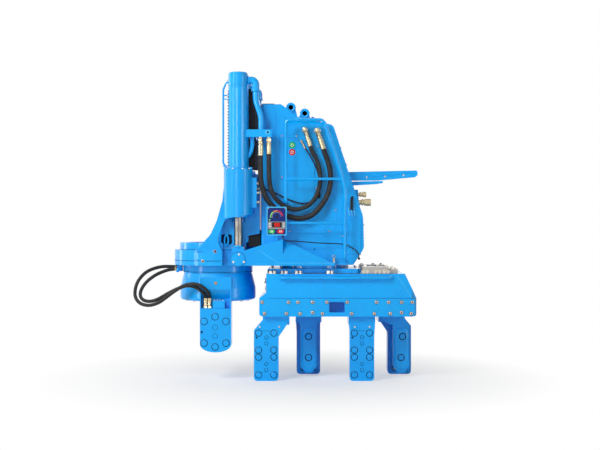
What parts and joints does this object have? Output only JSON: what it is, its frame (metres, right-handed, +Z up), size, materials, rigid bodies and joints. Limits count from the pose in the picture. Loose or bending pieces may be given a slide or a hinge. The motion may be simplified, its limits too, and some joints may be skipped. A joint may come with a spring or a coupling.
{
  "type": "press-in pile driver rig",
  "caption": "Hydraulic press-in pile driver: saddle on pile clamps, sliding and slewing mast, and a chuck frame with a turning chuck raised by upright cylinders.",
  "frame": {"origin": "on the ground, in the middle of the rig's footprint box without its hoses", "axes": "+Z up, -X forward towards the chuck, -Y the rig's left side with the handrail and indicator panel"},
  "size_m": [2.4702, 0.966, 2.634],
  "materials": {
    "blue_paint": "satin gloss sky blue enamel",
    "dark_blue_paint": "satin enamel, greasy and dusty in the corners",
    "bare_steel": "machined, slightly oily",
    "chrome_rod": "ground hard chrome",
    "plated_fitting": "yellow zinc plating",
    "hose_rubber": "matt wrapped rubber cover",
    "indicator_face": "navy film with a dial arc and two keys"
  },
  "bodies": {
    "root": {"saddle": "blue_paint", "saddle_plate_left": "blue_paint", "saddle_plate_right": "blue_paint", "step_bar_left": "blue_paint", "step_bar_right": "blue_paint", "rear_rail_left": "bare_steel", "rear_rail_right": "bare_steel", "rear_stop": "bare_steel", "clamp_1": "blue_paint", "clamp_2": "blue_paint", "clamp_3": "blue_paint", "clamp_4": "blue_paint"},
    "clamp_1_jaw": {"clamp_1_jaw": "bare_steel"},
    "clamp_2_jaw": {"clamp_2_jaw": "bare_steel"},
    "clamp_3_jaw": {"clamp_3_jaw": "bare_steel"},
    "clamp_4_jaw": {"clamp_4_jaw": "bare_steel"},
    "slide_base": {"slide_base": "dark_blue_paint", "slew_ring": "dark_blue_paint"},
    "mast": {"mast": "blue_paint", "mast_column_left": "blue_paint", "mast_column_right": "blue_paint", "mast_arm_left": "blue_paint", "mast_arm_right": "blue_paint", "rod_pin_left": "blue_paint", "rod_pin_right": "blue_paint", "cylinder_rod_left": "chrome_rod", "cylinder_rod_right": "chrome_rod", "hose_hanger_upper": "blue_paint", "hose_hanger_lower": "blue_paint", "rear_coupling_upper": "plated_fitting", "rear_coupling_lower": "plated_fitting", "handrail": "blue_paint", "indicator_panel": "indicator_face", "panel_stem": "blue_paint", "mast_fittings": "plated_fitting"},
    "chuck_frame": {"chuck_frame": "blue_paint", "cylinder_barrel_left": "blue_paint", "cylinder_barrel_right": "blue_paint", "hose_bracket_left": "blue_paint", "hose_bracket_right": "blue_paint", "barrel_pipe_left": "blue_paint", "barrel_pipe_right": "blue_paint", "cross_pipe": "blue_paint", "sensor_guard": "blue_paint", "bracket_fittings": "plated_fitting", "main_hose_outer": "hose_rubber", "main_hose_inner": "hose_rubber", "chuck_hose_outer": "hose_rubber", "chuck_hose_inner": "hose_rubber"},
    "chuck": {"chuck": "blue_paint", "chuck_fittings": "plated_fitting"},
    "chuck_jaw": {"chuck_jaw": "bare_steel"}
  },
  "joints": [
    {"name": "mast_slide", "type": "slide", "parent": "root", "child": "slide_base", "axis": [1, 0, 0], "range_m": [-0.4, 0]},
    {"name": "mast_slew", "type": "hinge", "parent": "slide_base", "child": "mast", "pos_m": [0.165, 0, 0.975], "axis": [0, 0, 1], "range_deg": [-15, 15]},
    {"name": "chuck_lift", "type": "slide", "parent": "mast", "child": "chuck_frame", "axis": [0, 0, 1], "range_m": [-0.2, 0.7], "deforming": ["main_hose_outer", "main_hose_inner"]},
    {"name": "chuck_turn", "type": "hinge", "parent": "chuck_frame", "child": "chuck", "pos_m": [-0.681, 0, 0.95], "axis": [0, 0, 1], "range_deg": [-175, 10], "deforming": ["chuck_hose_outer", "chuck_hose_inner"]},
    {"name": "chuck_jaw_slide", "type": "slide", "parent": "chuck", "child": "chuck_jaw", "axis": [0, 1, 0], "range_m": [0, 0.045]},
    {"name": "clamp_1_jaw_slide", "type": "slide", "parent": "root", "child": "clamp_1_jaw", "axis": [0, 1, 0], "range_m": [0, 0.045]},
    {"name": "clamp_2_jaw_slide", "type": "slide", "parent": "root", "child": "clamp_2_jaw", "axis": [0, -1, 0], "range_m": [0, 0.045]},
    {"name": "clamp_3_jaw_slide", "type": "slide", "parent": "root", "child": "clamp_3_jaw", "axis": [0, 1, 0], "range_m": [0, 0.045]},
    {"name": "clamp_4_jaw_slide", "type": "slide", "parent": "root", "child": "clamp_4_jaw", "axis": [0, -1, 0], "range_m": [0, 0.045]}
  ]
}
